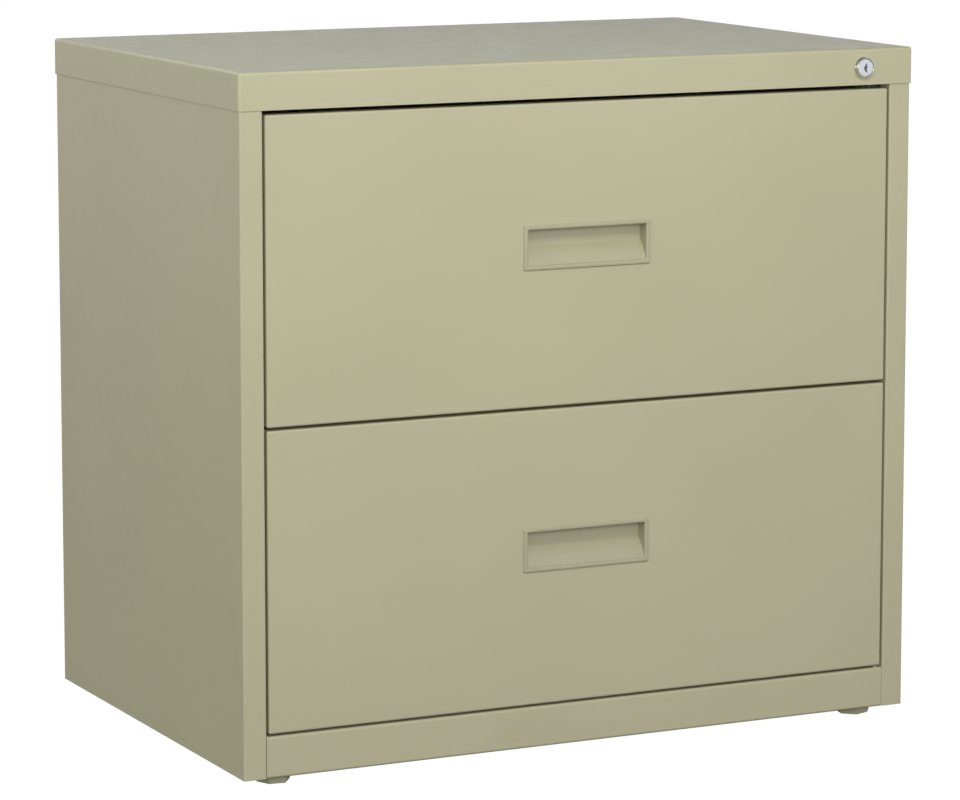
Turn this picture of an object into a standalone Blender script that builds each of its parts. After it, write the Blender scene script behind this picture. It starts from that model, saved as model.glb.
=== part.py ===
"""Two-drawer lateral filing cabinet, painted sheet steel, 30 x 20 x 28 in.

Frame: +X to the right, -Y to the front, +Z up, origin on the floor under the
centre of the bounding box.  All lengths are metres; MM turns millimetres into
metres.  Every sub-part is one closed body in an object of its own, and the
pieces of one moving body share a parent empty on that body's joint axis.
"""

import math

import bmesh
import bpy
from mathutils import Matrix, Vector

MM = 0.001

# ---------------------------------------------------------------- sizes
WIDTH = 762 * MM                # top cover, side to side
DEPTH = 508 * MM                # top cover, front to back
HEIGHT = 711 * MM               # floor to top cover
SHEET = 1.2 * MM                # folded steel sheet
BEND = 0.8 * MM                 # inside radius of a fold
GAP = 0.3 * MM                  # between pieces that rest on each other

SHELL_BOTTOM = 10 * MM          # floor to the lower edge of the side panels
APRON = 38 * MM                 # height of the top cover's turned-down edge
COVER_RADIUS = 2.5 * MM         # rounded edges of the top cover
COVER_ROOM = 1.8 * MM           # under the cover's sheet, clear of its round edge
STILE = 24.5 * MM               # front face of each side panel
STILE_DEPTH = 20 * MM
STILE_HEM = 8 * MM
REAR_FLANGE = 15 * MM

BASE_RAIL = 42 * MM             # height of the plinth rail under the drawers
BASE_RAIL_RECESS = 1 * MM
RAIL_GAP = 2.5 * MM             # plinth rail to lower drawer front
FRONT_GAP = 3 * MM              # between the two drawer fronts
LOWER_FRONT = 303.5 * MM        # heights of the two drawer fronts
UPPER_FRONT = 307.5 * MM
SIDE_GAP = 2.5 * MM             # drawer front to stile
FRONT_THICK = 18 * MM
FRONT_RADIUS = 2.5 * MM

SLIDE_WIDTH = 12.7 * MM
SLIDE_HEIGHT = 45.6 * MM
SLIDE_LENGTH = 450 * MM
MIDDLE_LENGTH = 430 * MM
CAGE_LENGTH = 190 * MM
SLIDE_SETBACK = 35 * MM         # drawer face to the front end of the slides
SLIDE_LIFT = 60 * MM            # drawer front's lower edge to slide centre

TRAY_FRONT = 18.3 * MM          # drawer face to the tray's front edge
TRAY_BACK = 468 * MM
TRAY_LIFT = 12 * MM
TRAY_TOP = 250 * MM
TRAY_FLANGE = 12 * MM
TRAY_BACK_TOP = 220 * MM
HANG_RAIL_HEIGHT = 14.7 * MM
HANG_RAIL_BASE = 14 * MM
HANG_RAIL_SETBACK = 34 * MM
FOLDER_SPAN = 320 * MM          # between the two hang rails, letter size

HANDLE_WIDTH = 144 * MM
HANDLE_HEIGHT = 46 * MM
HANDLE_PROUD = 2 * MM
HANDLE_LIFT = 8.5 * MM          # above the middle of the drawer front
CUP_DEPTH = 14 * MM

LOCK_X = 322 * MM
LOCK_DROP = 19.8 * MM           # below the top of the cabinet
LOCK_PROUD = 5 * MM
PLUG_HEAD_RADIUS = 8.8 * MM
CAM_THROW = 8 * MM              # lock axis to cam pin
CAM_START = math.radians(45)    # direction of the cam pin, unlocked
PIN_RADIUS = 1.5 * MM
PIN_PLAY = 0.5 * MM             # between the pin and its slot
CATCH_LIFT = 150 * MM           # drawer front's lower edge to its lock catch
CATCH_HEIGHT = 16 * MM
TAB_CLEARANCE = 1 * MM          # unlocked tab above the catch
TAB_HEIGHT = 14 * MM

FOOT_X = 336 * MM
FOOT_Y = 220 * MM
FOOT_HEIGHT = 9 * MM
FOOT_TOP_RADIUS = 20 * MM
FOOT_BOTTOM_RADIUS = 17.5 * MM
STEM_RADIUS = 4 * MM
STEM_TOP = 45 * MM
FOOT_TURNS = {"glide_front_left": 24, "glide_front_right": 48,
              "glide_rear_left": 8, "glide_rear_right": 37}

# ------------------------------------------------- places worked out from them
Y_MAX = (DEPTH + LOCK_PROUD) / 2
Y_COVER_FRONT = LOCK_PROUD - Y_MAX
Y_COVER_BACK = Y_MAX
LIP = SHEET + GAP               # the top cover stands this far proud
Y_FACE = Y_COVER_FRONT + LIP
Y_BACK = Y_COVER_BACK - LIP
X_SIDE = WIDTH / 2 - LIP
X_OPENING = X_SIDE - STILE
X_FRONT = X_OPENING - SIDE_GAP
X_TRAY = X_OPENING - SLIDE_WIDTH - GAP
Z_SHELL_TOP = HEIGHT - SHEET - COVER_ROOM
Z_LOWER = SHELL_BOTTOM + BASE_RAIL + RAIL_GAP
Z_UPPER = Z_LOWER + LOWER_FRONT + FRONT_GAP
Z_LOCK = HEIGHT - LOCK_DROP
PAN_TOP = 25.2 * MM             # upper face of the base pan
Y_BAR = Y_FACE + 21.5 * MM      # front face of the lock bar
BAR_THICK = 2 * MM

DRAWERS = (("upper", Z_UPPER, UPPER_FRONT), ("lower", Z_LOWER, LOWER_FRONT))
SIDES = (("left", -1), ("right", 1))


# ------------------------------------------------------------- materials
def srgb(red, green, blue):
    """Linear colour from 8-bit display values."""
    def linear(value):
        value /= 255
        return value / 12.92 if value <= 0.04045 else ((value + 0.055) / 1.055) ** 2.4
    return (linear(red), linear(green), linear(blue), 1.0)


FINISHES = {
    "putty_enamel": (srgb(190, 185, 158), 0.42, 0.0),
    "handle_plastic": (srgb(186, 181, 155), 0.45, 0.0),
    "zinc_steel": (srgb(176, 178, 180), 0.35, 1.0),
    "cage_steel": (srgb(150, 146, 132), 0.4, 1.0),
    "chrome": (srgb(214, 214, 212), 0.12, 1.0),
    "brushed_nickel": (srgb(196, 194, 188), 0.32, 1.0),
    "glide_plastic": (srgb(160, 155, 128), 0.5, 0.0),
    "raw_steel": (srgb(92, 92, 94), 0.55, 1.0),
}


def material(name, finish):
    colour, roughness, metallic = FINISHES[finish]
    made = bpy.data.materials.new(name)
    made.use_nodes = True
    shader = made.node_tree.nodes["Principled BSDF"]
    shader.inputs["Base Color"].default_value = colour
    shader.inputs["Roughness"].default_value = roughness
    shader.inputs["Metallic"].default_value = metallic
    return made


# ---------------------------------------------------------------- helpers
def clear_scene():
    for item in list(bpy.data.objects):
        bpy.data.objects.remove(item)


def carrier(name, at, parent=None):
    """An empty that carries the pieces of one body, on its joint's axis."""
    empty = bpy.data.objects.new(name, None)
    bpy.context.scene.collection.objects.link(empty)
    empty.parent = parent
    empty.location = at
    return empty


def add_object(name, bm, finish, parent, at=(0, 0, 0)):
    bmesh.ops.recalc_face_normals(bm, faces=bm.faces)
    mesh = bpy.data.meshes.new(name)
    bm.to_mesh(mesh)
    bm.free()
    mesh.shade_smooth()
    mesh.set_sharp_from_angle(angle=math.radians(35))
    piece = bpy.data.objects.new(name, mesh)
    bpy.context.scene.collection.objects.link(piece)
    piece.parent = parent
    piece.location = at
    if finish:
        mesh.materials.append(material(name, finish))
    return piece


def boolean(piece, operand, operation):
    """Cut or join a hidden operand; it takes the piece's own place."""
    operand.parent = piece.parent
    operand.location = piece.location
    operand.hide_render = True
    operand.display_type = "WIRE"
    step = piece.modifiers.new(operand.name, "BOOLEAN")
    step.operation = operation
    step.solver = "EXACT"
    step.object = operand
    return piece


def prism_mesh(outline, axis, start, end):
    """A closed prism: outline in the two axes across the given one, in order."""
    across = {"X": (1, 2), "Y": (0, 2), "Z": (0, 1)}[axis]
    along = "XYZ".index(axis)
    bm = bmesh.new()
    rings = []
    for place in (start, end):
        ring = []
        for first, second in outline:
            corner = [0.0, 0.0, 0.0]
            corner[across[0]] = first
            corner[across[1]] = second
            corner[along] = place
            ring.append(bm.verts.new(corner))
        rings.append(ring)
    low, high = rings
    bm.faces.new(low)
    bm.faces.new(reversed(high))
    for index in range(len(low)):
        after = (index + 1) % len(low)
        bm.faces.new((low[index], high[index], high[after], low[after]))
    return bm


def prism(name, outline, axis, start, end, finish, parent, at=(0, 0, 0)):
    return add_object(name, prism_mesh(outline, axis, start, end), finish, parent, at)


def box_mesh(low, high):
    outline = ((low[0], low[1]), (high[0], low[1]), (high[0], high[1]), (low[0], high[1]))
    return prism_mesh(outline, "Z", low[2], high[2])


def arc(centre, radius, start, end, steps):
    """Points on an arc, both ends included; angles in radians."""
    turns = [start + (end - start) * step / steps for step in range(steps + 1)]
    return [(centre[0] + radius * math.cos(turn), centre[1] + radius * math.sin(turn))
            for turn in turns]


def folded(path, thickness=SHEET, inside=BEND, steps=3):
    """Outline of a folded sheet that lies to the left of a path, with round bends."""
    points = [Vector(point) for point in path]
    ways = [(after - before).normalized() for before, after in zip(points, points[1:])]
    normals = [Vector((-way.y, way.x)) for way in ways]
    near = [points[0]]
    far = [points[0] + normals[0] * thickness]
    for index in range(1, len(points) - 1):
        turn = ways[index - 1].angle_signed(ways[index]) * -1
        side = 1 if turn > 0 else -1
        near_radius = inside + thickness if side > 0 else inside
        far_radius = inside if side > 0 else inside + thickness
        half = abs(turn) / 2
        bisector = (normals[index - 1] + normals[index]).normalized()
        centre = points[index] + bisector * side * near_radius / math.cos(half)
        for step in range(steps + 1):
            blend = step / steps
            spoke = (normals[index - 1] * (1 - blend) + normals[index] * blend) * -side
            spoke = spoke.normalized()
            near.append(centre + spoke * near_radius)
            far.append(centre + spoke * far_radius)
    near.append(points[-1])
    far.append(points[-1] + normals[-1] * thickness)
    return [tuple(point) for point in near + far[::-1]]


def mirrored(points, side):
    """Points for the right-hand side (side = 1), or their mirror image in X."""
    return [(side * first, second) for first, second in points]


def pan(name, low, high, open_face, radius, finish, parent, at=(0, 0, 0)):
    """A sheet box with one open face and round outer edges."""
    bm = box_mesh(low, high)
    facing = Vector(open_face)
    bmesh.ops.recalc_face_normals(bm, faces=bm.faces)
    lid = [face for face in bm.faces if face.normal.dot(facing) > 0.9]
    rim = {edge for face in lid for edge in face.edges}
    bmesh.ops.delete(bm, geom=lid, context="FACES_ONLY")
    bmesh.ops.bevel(bm, geom=[edge for edge in bm.edges if edge not in rim],
                    offset=radius, segments=3, profile=0.5, affect="EDGES")
    piece = add_object(name, bm, finish, parent, at)
    wall = piece.modifiers.new("wall", "SOLIDIFY")
    wall.thickness = SHEET
    wall.offset = -1
    wall.use_even_offset = True
    return piece


def turned_mesh(profile, sides):
    """A body of revolution about Y from (radius, y) points; closed through its bore
    unless the profile touches the axis."""
    bm = bmesh.new()
    rings = []
    for radius, place in profile:
        if radius == 0:
            rings.append([bm.verts.new((0, place, 0))])
            continue
        rings.append([bm.verts.new((x, place, z))
                      for x, z in arc((0, 0), radius, 0, math.tau, sides)[:-1]])
    on_axis = profile[0][0] == 0
    last = len(rings) - 1 if on_axis else len(rings)
    for index in range(last):
        inner = rings[index]
        outer = rings[(index + 1) % len(rings)]
        for step in range(sides):
            after = (step + 1) % sides
            corners = [inner[step % len(inner)], inner[after % len(inner)],
                       outer[after % len(outer)], outer[step % len(outer)]]
            bm.faces.new(list(dict.fromkeys(corners)))
    return bm


# ------------------------------------------------------------ cabinet case
def side_panel(name, side, parent):
    """Outer wall, rear flange and the box-folded stile beside the drawers."""
    path = mirrored([
        (X_SIDE - REAR_FLANGE, Y_BACK),
        (X_SIDE, Y_BACK),
        (X_SIDE, Y_FACE),
        (X_OPENING, Y_FACE),
        (X_OPENING, Y_FACE + STILE_DEPTH),
        (X_OPENING + STILE_HEM, Y_FACE + STILE_DEPTH),
    ], side)
    if side > 0:
        path.reverse()
    return prism(name, folded(path), "Z", SHELL_BOTTOM, Z_SHELL_TOP, "putty_enamel", parent)


def back_panel(parent):
    x_edge = X_SIDE - SHEET - 2 * GAP
    y_rear = Y_BACK - SHEET - GAP
    turn_in = 12 * MM
    path = [(x_edge, y_rear - turn_in), (x_edge, y_rear), (-x_edge, y_rear),
            (-x_edge, y_rear - turn_in)]
    return prism("back_panel", folded(path), "Z", SHELL_BOTTOM + 1 * MM, Z_SHELL_TOP,
                 "putty_enamel", parent)


def top_cover(parent):
    low = (-WIDTH / 2, Y_COVER_FRONT, HEIGHT - APRON)
    high = (WIDTH / 2, Y_COVER_BACK, HEIGHT)
    cover = pan("top_cover", low, high, (0, 0, -1), COVER_RADIUS, "putty_enamel", parent)
    return lock_hole(cover, parent)


def lock_hole(piece, parent):
    """A round hole for the lock barrel, straight through from the front."""
    hole = turned_mesh([(0, Y_COVER_FRONT - 5 * MM), (9.3 * MM, Y_COVER_FRONT - 5 * MM),
                        (9.3 * MM, Y_COVER_FRONT + 8 * MM), (0, Y_COVER_FRONT + 8 * MM)], 24)
    bmesh.ops.translate(hole, verts=hole.verts, vec=(LOCK_X, 0, Z_LOCK))
    return boolean(piece, add_object(piece.name + "_lock_hole", hole, None, parent),
                   "DIFFERENCE")


def header_channel(parent):
    """Channel between the stiles, behind the apron; it carries the lock."""
    x_end = X_OPENING - GAP
    low = HEIGHT - APRON + 1.5 * MM
    path = [(Y_FACE + STILE_DEPTH, Z_SHELL_TOP), (Y_FACE, Z_SHELL_TOP), (Y_FACE, low),
            (Y_FACE + STILE_DEPTH, low)]
    header = prism("header_channel", folded(path), "X", -x_end, x_end, "putty_enamel", parent)
    return lock_hole(header, parent)


def base_rail(parent):
    x_end = X_OPENING - GAP
    y_face = Y_FACE + BASE_RAIL_RECESS
    low = SHELL_BOTTOM - 0.5 * MM
    high = SHELL_BOTTOM + BASE_RAIL
    depth = STILE_DEPTH - 2 * MM
    path = [(y_face + depth, high), (y_face, high), (y_face, low), (y_face + depth, low)]
    return prism("base_rail", folded(path), "X", -x_end, x_end, "putty_enamel", parent)


def base_pan(parent):
    """Bottom sheet with turned-down edges, holed for the four glide stems."""
    x_edge = X_SIDE - SHEET - 1.9 * MM
    low = (-x_edge, Y_FACE + STILE_DEPTH + 0.5 * MM, SHELL_BOTTOM + 1 * MM)
    high = (x_edge, Y_BACK - 3 * MM, PAN_TOP)
    base = pan("base_pan", low, high, (0, 0, -1), BEND + SHEET, "putty_enamel", parent)
    holes = bmesh.new()
    for x in (-FOOT_X, FOOT_X):
        for y in (-FOOT_Y, FOOT_Y):
            bmesh.ops.create_cone(holes, cap_ends=True, segments=16, depth=20 * MM,
                                  radius1=STEM_RADIUS + 0.6 * MM,
                                  radius2=STEM_RADIUS + 0.6 * MM)
            bmesh.ops.translate(holes, verts=holes.verts[-32:], vec=(x, y, PAN_TOP))
    return boolean(base, add_object("stem_holes", holes, None, parent), "DIFFERENCE")


def upright(name, side, y_front, parent):
    """Slotted hat channel that the slides hook into."""
    x_wing = X_SIDE - SHEET - GAP - SHEET
    x_slide = X_OPENING + GAP
    face = 30 * MM
    wing = 8 * MM
    path = mirrored([
        (x_wing, y_front),
        (x_wing, y_front + wing),
        (x_slide, y_front + wing),
        (x_slide, y_front + wing + face),
        (x_wing, y_front + wing + face),
        (x_wing, y_front + wing + face + wing),
    ], side)
    if side > 0:
        path.reverse()
    channel = prism(name, folded(path), "Z", PAN_TOP + GAP, Z_SHELL_TOP, "putty_enamel", parent)
    slots = bmesh.new()
    pitch = 50 * MM
    slot_low = 60 * MM
    middle = y_front + wing + face / 2
    for step in range(13):
        z = slot_low + pitch * step
        outline = mirrored([(x_slide - 2 * MM, middle - 2 * MM), (x_slide + 4 * MM, middle - 2 * MM),
                            (x_slide + 4 * MM, middle + 2 * MM), (x_slide - 2 * MM, middle + 2 * MM)],
                           side)
        slot = prism_mesh(outline, "Z", z, z + 16 * MM)
        add_to(slots, slot)
    return boolean(channel, add_object(name + "_slots", slots, None, parent), "DIFFERENCE")


def add_to(target, extra):
    """Copy one bmesh into another, as a separate island."""
    copies = {vert: target.verts.new(vert.co) for vert in extra.verts}
    for face in extra.faces:
        target.faces.new([copies[vert] for vert in face.verts])
    extra.free()


def counterweight(parent):
    bm = box_mesh((-300 * MM, 150 * MM, PAN_TOP + GAP), (300 * MM, 240 * MM, PAN_TOP + 12 * MM))
    return add_object("counterweight", bm, "raw_steel", parent)


def levelling_glide(name, x, y, parent):
    """Hexagonal tapered foot on a threaded stem."""
    bm = bmesh.new()
    bmesh.ops.create_cone(bm, cap_ends=True, segments=6, radius1=FOOT_BOTTOM_RADIUS,
                          radius2=FOOT_TOP_RADIUS, depth=FOOT_HEIGHT)
    bmesh.ops.translate(bm, verts=bm.verts, vec=(0, 0, FOOT_HEIGHT / 2))
    turn = Matrix.Rotation(math.radians(FOOT_TURNS[name]), 3, "Z")
    bmesh.ops.transform(bm, matrix=turn, verts=bm.verts)
    foot = add_object(name, bm, "glide_plastic", parent, (x, y, 0))
    stem = bmesh.new()
    overlap = 3 * MM
    length = STEM_TOP - FOOT_HEIGHT + overlap
    bmesh.ops.create_cone(stem, cap_ends=True, segments=12, radius1=STEM_RADIUS,
                          radius2=STEM_RADIUS, depth=length)
    bmesh.ops.translate(stem, verts=stem.verts, vec=(0, 0, STEM_TOP - length / 2))
    return boolean(foot, add_object(name + "_stem", stem, None, parent), "UNION")


# ----------------------------------------------------------------- slides
def slide_outline(path, side, thickness=SHEET, inside=BEND):
    """Section of a slide member: x counts from the upright towards the drawer."""
    outline = folded([(x * MM, z * MM) for x, z in path], thickness, inside, 2)
    return [(side * (X_OPENING - x), z) for x, z in outline]


def slide_member(name, path, length, side, parent):
    return prism(name, slide_outline(path, side), "Y", 0, length, "zinc_steel", parent)


def ball_cage(name, path, row_x, row_z, side, parent):
    """Ball retainer: a thin channel with a row of balls in each flange."""
    balls_in_row = 5
    ball_radius = 1.8 * MM
    outline = slide_outline(path, side, 0.6 * MM, 0.3 * MM)
    cage = prism(name, outline, "Y", 0, CAGE_LENGTH, "cage_steel", parent)
    balls = bmesh.new()
    pitch = CAGE_LENGTH / balls_in_row
    for z in (-row_z, row_z):
        for step in range(balls_in_row):
            ball = bmesh.new()
            bmesh.ops.create_uvsphere(ball, u_segments=6, v_segments=4, radius=ball_radius)
            place = (side * (X_OPENING - row_x), pitch * (step + 0.5), z)
            bmesh.ops.translate(ball, verts=ball.verts, vec=place)
            add_to(balls, ball)
    return boolean(cage, add_object(name + "_balls", balls, None, parent), "UNION")


def slide_set(level, label, side, z_front, cabinet, drawer):
    """Outer, middle and inner member with the two ball cages between them."""
    name = level + "_slide_" + label
    z = z_front + SLIDE_LIFT
    y = Y_FACE + SLIDE_SETBACK
    half = SLIDE_HEIGHT / 2 / MM
    outer_at = carrier(name + "_outer_at", (0, y, z), cabinet)
    slide_member(name + "_outer",
                 [(10, half - 2.4), (10, half), (0, half), (0, -half), (10, -half), (10, 2.4 - half)],
                 SLIDE_LENGTH, side, outer_at)
    middle = carrier(name + "_middle_body", (0, y, z), cabinet)
    slide_member(name + "_middle",
                 [(9.6, 17.4), (2.6, 17.4), (2.6, -17.4), (9.6, -17.4)],
                 MIDDLE_LENGTH, side, middle)
    inner_at = carrier(name + "_inner_at", (0, SLIDE_SETBACK, SLIDE_LIFT), drawer)
    slide_member(name + "_inner",
                 [(5.3, -12), (12.7, -12), (12.7, 12), (5.3, 12)],
                 MIDDLE_LENGTH, side, inner_at)
    outer_cage = carrier(name + "_outer_cage_body", (0, y + 120 * MM, z), cabinet)
    ball_cage(name + "_outer_cage", [(8, 19.8), (1.6, 19.8), (1.6, -19.8), (8, -19.8)],
              5.5 * MM, 19.5 * MM, side, outer_cage)
    inner_cage = carrier(name + "_inner_cage_body", (0, y + 130 * MM, z), cabinet)
    ball_cage(name + "_inner_cage", [(9, 14.4), (4.2, 14.4), (4.2, -14.4), (9, -14.4)],
              7.3 * MM, 14.1 * MM, side, inner_cage)


# ---------------------------------------------------------------- drawers
def drawer_front(level, height, drawer):
    """Face pan; x and z count from the middle of its lower edge, y from its face."""
    front = pan(level + "_drawer_front", (-X_FRONT, 0, 0), (X_FRONT, FRONT_THICK, height),
                (0, 1, 0), FRONT_RADIUS, "putty_enamel", drawer)
    centre = height / 2 + HANDLE_LIFT
    hole = box_mesh((-HANDLE_WIDTH / 2 + 2 * MM, -5 * MM, centre - 21 * MM),
                    (HANDLE_WIDTH / 2 - 2 * MM, 8 * MM, centre + 22.2 * MM))
    return boolean(front, add_object(level + "_handle_hole", hole, None, drawer), "DIFFERENCE")


def drawer_liner(level, height, drawer):
    inset = SHEET + GAP
    return pan(level + "_drawer_liner", (-X_FRONT + inset, FRONT_THICK - 8 * MM, inset),
               (X_FRONT - inset, FRONT_THICK, height - inset), (0, -1, 0),
               BEND + SHEET, "putty_enamel", drawer)


def drawer_handle(level, height, drawer):
    """Recessed pull: raised frame, and a cup that scoops up behind its top edge."""
    centre = height / 2 + HANDLE_LIFT
    cup_half = HANDLE_WIDTH / 2 - 2.5 * MM
    bezel = box_mesh((-HANDLE_WIDTH / 2, -HANDLE_PROUD, -HANDLE_HEIGHT / 2),
                     (HANDLE_WIDTH / 2, -GAP, HANDLE_HEIGHT / 2))
    front_edges = [edge for edge in bezel.edges
                   if all(vert.co.y < -HANDLE_PROUD + GAP for vert in edge.verts)]
    bmesh.ops.bevel(bezel, geom=front_edges, offset=1 * MM, segments=2, profile=0.5,
                    affect="EDGES")
    handle = add_object(level + "_handle", bezel, "handle_plastic", drawer, (0, 0, centre))
    body = prism_mesh([(-1 * MM, -20.6 * MM), (3 * MM, -20.6 * MM), (CUP_DEPTH, 1 * MM),
                       (CUP_DEPTH, 21.8 * MM), (-1 * MM, 21.8 * MM)], "X", -cup_half, cup_half)
    boolean(handle, add_object(level + "_cup", body, None, drawer), "UNION")
    wall = 1.4 * MM
    lip_top = 18.5 * MM
    cavity_half = HANDLE_WIDTH / 2 - 5 * MM
    cavity = prism_mesh([(-4 * MM, -18.5 * MM), (1 * MM, -18.5 * MM),
                         (CUP_DEPTH - wall, 1.5 * MM), (CUP_DEPTH - wall, 20.4 * MM),
                         (1 * MM, 20.4 * MM), (1 * MM, lip_top), (-4 * MM, lip_top)],
                        "X", -cavity_half, cavity_half)
    return boolean(handle, add_object(level + "_cavity", cavity, None, drawer), "DIFFERENCE")


def drawer_tray(level, drawer):
    """Both sides and the floor, folded from one sheet."""
    path = [(-X_TRAY + TRAY_FLANGE, TRAY_TOP), (-X_TRAY, TRAY_TOP), (-X_TRAY, TRAY_LIFT),
            (X_TRAY, TRAY_LIFT), (X_TRAY, TRAY_TOP), (X_TRAY - TRAY_FLANGE, TRAY_TOP)]
    return prism(level + "_drawer_tray", folded(path), "Y", TRAY_FRONT, TRAY_BACK,
                 "putty_enamel", drawer)


def drawer_back(level, drawer):
    """Rear wall, a channel standing between the tray's sides."""
    x_end = X_TRAY - SHEET - GAP
    low = TRAY_LIFT + SHEET + GAP
    rear = TRAY_BACK - 1 * MM
    path = [(rear - 12 * MM, low), (rear, low), (rear, TRAY_BACK_TOP), (rear - 12 * MM, TRAY_BACK_TOP)]
    return prism(level + "_drawer_back", folded(path), "X", -x_end, x_end, "putty_enamel", drawer)


def hang_rails(level, drawer):
    """Two angle rails that hanging folders hook over."""
    x_end = X_TRAY - 2 * MM
    low = TRAY_TOP + GAP
    high = low + HANG_RAIL_HEIGHT
    front = HANG_RAIL_SETBACK
    rear = front + FOLDER_SPAN
    prism(level + "_hang_rail_front",
          folded([(front - HANG_RAIL_BASE, low), (front, low), (front, high)], 1.5 * MM),
          "X", -x_end, x_end, "zinc_steel", drawer)
    prism(level + "_hang_rail_rear",
          folded([(rear, high), (rear, low), (rear + HANG_RAIL_BASE, low)], 1.5 * MM),
          "X", -x_end, x_end, "zinc_steel", drawer)


def lock_catch(level, drawer):
    """Angle on the drawer's right side; its tongue stands behind the bar's tab."""
    x_base = X_TRAY + GAP
    y_tongue = Y_BAR + 3.5 * MM - Y_FACE
    path = [(x_base, y_tongue + 30 * MM), (x_base, y_tongue), (X_FRONT - 1 * MM, y_tongue)]
    return prism(level + "_lock_catch", folded(path), "Z", CATCH_LIFT,
                 CATCH_LIFT + CATCH_HEIGHT, "zinc_steel", drawer)


def build_drawer(level, z_front, height, cabinet):
    drawer = carrier(level + "_drawer_body", (0, Y_FACE, z_front), cabinet)
    drawer_front(level, height, drawer)
    drawer_liner(level, height, drawer)
    drawer_handle(level, height, drawer)
    drawer_tray(level, drawer)
    drawer_back(level, drawer)
    hang_rails(level, drawer)
    lock_catch(level, drawer)
    for label, side in SIDES:
        slide_set(level, label, side, z_front, cabinet, drawer)


# ------------------------------------------------------------------- lock
def lock_housing(parent):
    """Bevelled ring and barrel, bored for the plug and its wide head; y counts from the apron."""
    bore = 6.5 * MM
    barrel = 8.9 * MM
    rim = 11.5 * MM
    seat = PLUG_HEAD_RADIUS + GAP
    profile = [(seat, -4.7 * MM), (seat + 0.3 * MM, -LOCK_PROUD), (10 * MM, -LOCK_PROUD),
               (rim - 0.4 * MM, -2.2 * MM), (rim, -1.6 * MM), (rim, -GAP),
               (barrel, -GAP), (barrel, 18 * MM), (bore, 18 * MM), (bore, -1.8 * MM),
               (seat, -1.8 * MM)]
    return add_object("lock_housing", turned_mesh(profile, 32), "chrome", parent,
                      (LOCK_X, Y_COVER_FRONT, Z_LOCK))


def lock_plug(parent):
    face = -4.5 * MM
    head = PLUG_HEAD_RADIUS
    profile = [(0, face), (head - 0.3 * MM, face), (head, face + 0.3 * MM),
               (head, -2.1 * MM), (6.2 * MM, -2.1 * MM), (6.2 * MM, 17.6 * MM),
               (3 * MM, 17.6 * MM), (3 * MM, 21.3 * MM), (0, 21.3 * MM)]
    plug = add_object("lock_plug", turned_mesh(profile, 24), "brushed_nickel", parent)
    half = 0.7 * MM
    step = 0.6 * MM
    keyway = [(-half - step, 4 * MM), (half - step, 4 * MM), (half - step, 1 * MM),
              (half + step, 1 * MM), (half + step, -4 * MM), (-half + step, -4 * MM),
              (-half + step, -1 * MM), (-half - step, -1 * MM)]
    slot = add_object("keyway", prism_mesh(keyway, "Y", face - 3 * MM, face + 6 * MM), None, parent)
    return boolean(plug, slot, "DIFFERENCE")


def lock_cam(parent):
    """Lever with a pin, keyed on the plug's tail."""
    hub = 6 * MM
    tip = 3.2 * MM
    spread = math.acos((hub - tip) / CAM_THROW)
    pin_at = (CAM_THROW * math.cos(CAM_START), CAM_THROW * math.sin(CAM_START))
    outline = arc((0, 0), hub, CAM_START + spread, CAM_START + math.tau - spread, 14)
    outline += arc(pin_at, tip, CAM_START - spread, CAM_START + spread, 8)
    cam = prism("lock_cam", outline, "Y", 19 * MM, 21 * MM, "zinc_steel", parent)
    pin = turned_mesh([(0, 20 * MM), (PIN_RADIUS, 20 * MM), (PIN_RADIUS, 27 * MM), (0, 27 * MM)], 12)
    bmesh.ops.translate(pin, verts=pin.verts, vec=(pin_at[0], 0, pin_at[1]))
    boolean(cam, add_object("cam_pin", pin, None, parent), "UNION")
    bore = turned_mesh([(0, 17 * MM), (3.3 * MM, 17 * MM), (3.3 * MM, 24 * MM), (0, 24 * MM)], 16)
    return boolean(cam, add_object("cam_bore", bore, None, parent), "DIFFERENCE")


def lock_bar(parent):
    """Flat bar behind the right stile: an arm to the cam pin, a tab per drawer."""
    slot_z = Z_LOCK + CAM_THROW * math.sin(CAM_START)
    arm_half = 7 * MM
    x_in = X_OPENING + 2 * MM
    x_out = X_SIDE - SHEET - 2.5 * MM
    x_tab = X_TRAY + 4.5 * MM
    x_arm = LOCK_X - 2 * MM
    outline = [(x_in, 100 * MM), (x_out, 100 * MM), (x_out, slot_z + arm_half),
               (x_arm, slot_z + arm_half), (x_arm, slot_z - arm_half), (x_in, slot_z - arm_half)]
    for _, z_front, _ in DRAWERS:
        low = z_front + CATCH_LIFT + CATCH_HEIGHT + TAB_CLEARANCE
        outline += [(x_in, low + TAB_HEIGHT), (x_tab, low + TAB_HEIGHT), (x_tab, low), (x_in, low)]
    bar = prism("lock_bar", outline, "Y", Y_BAR, Y_BAR + BAR_THICK, "zinc_steel", parent)
    slot_half = PIN_RADIUS + PIN_PLAY
    slot = box_mesh((LOCK_X + 3 * MM, Y_BAR - 2 * MM, slot_z - slot_half),
                    (LOCK_X + CAM_THROW + slot_half + 1 * MM, Y_BAR + 4 * MM, slot_z + slot_half))
    return boolean(bar, add_object("cam_slot", slot, None, parent), "DIFFERENCE")


def bar_guide(name, z, parent):
    """Strap that holds the lock bar against the stile and lets it slide."""
    y_stile = Y_FACE + STILE_DEPTH + GAP
    y_strap = Y_BAR + BAR_THICK + 2 * MM
    path = [(X_SIDE - 2 * MM, y_stile), (X_SIDE - 2 * MM, y_strap), (X_OPENING + GAP, y_strap),
            (X_OPENING + GAP, y_stile)]
    return prism(name, folded(path, SHEET, 0.4 * MM), "Z", z, z + 15 * MM, "zinc_steel", parent)


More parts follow.
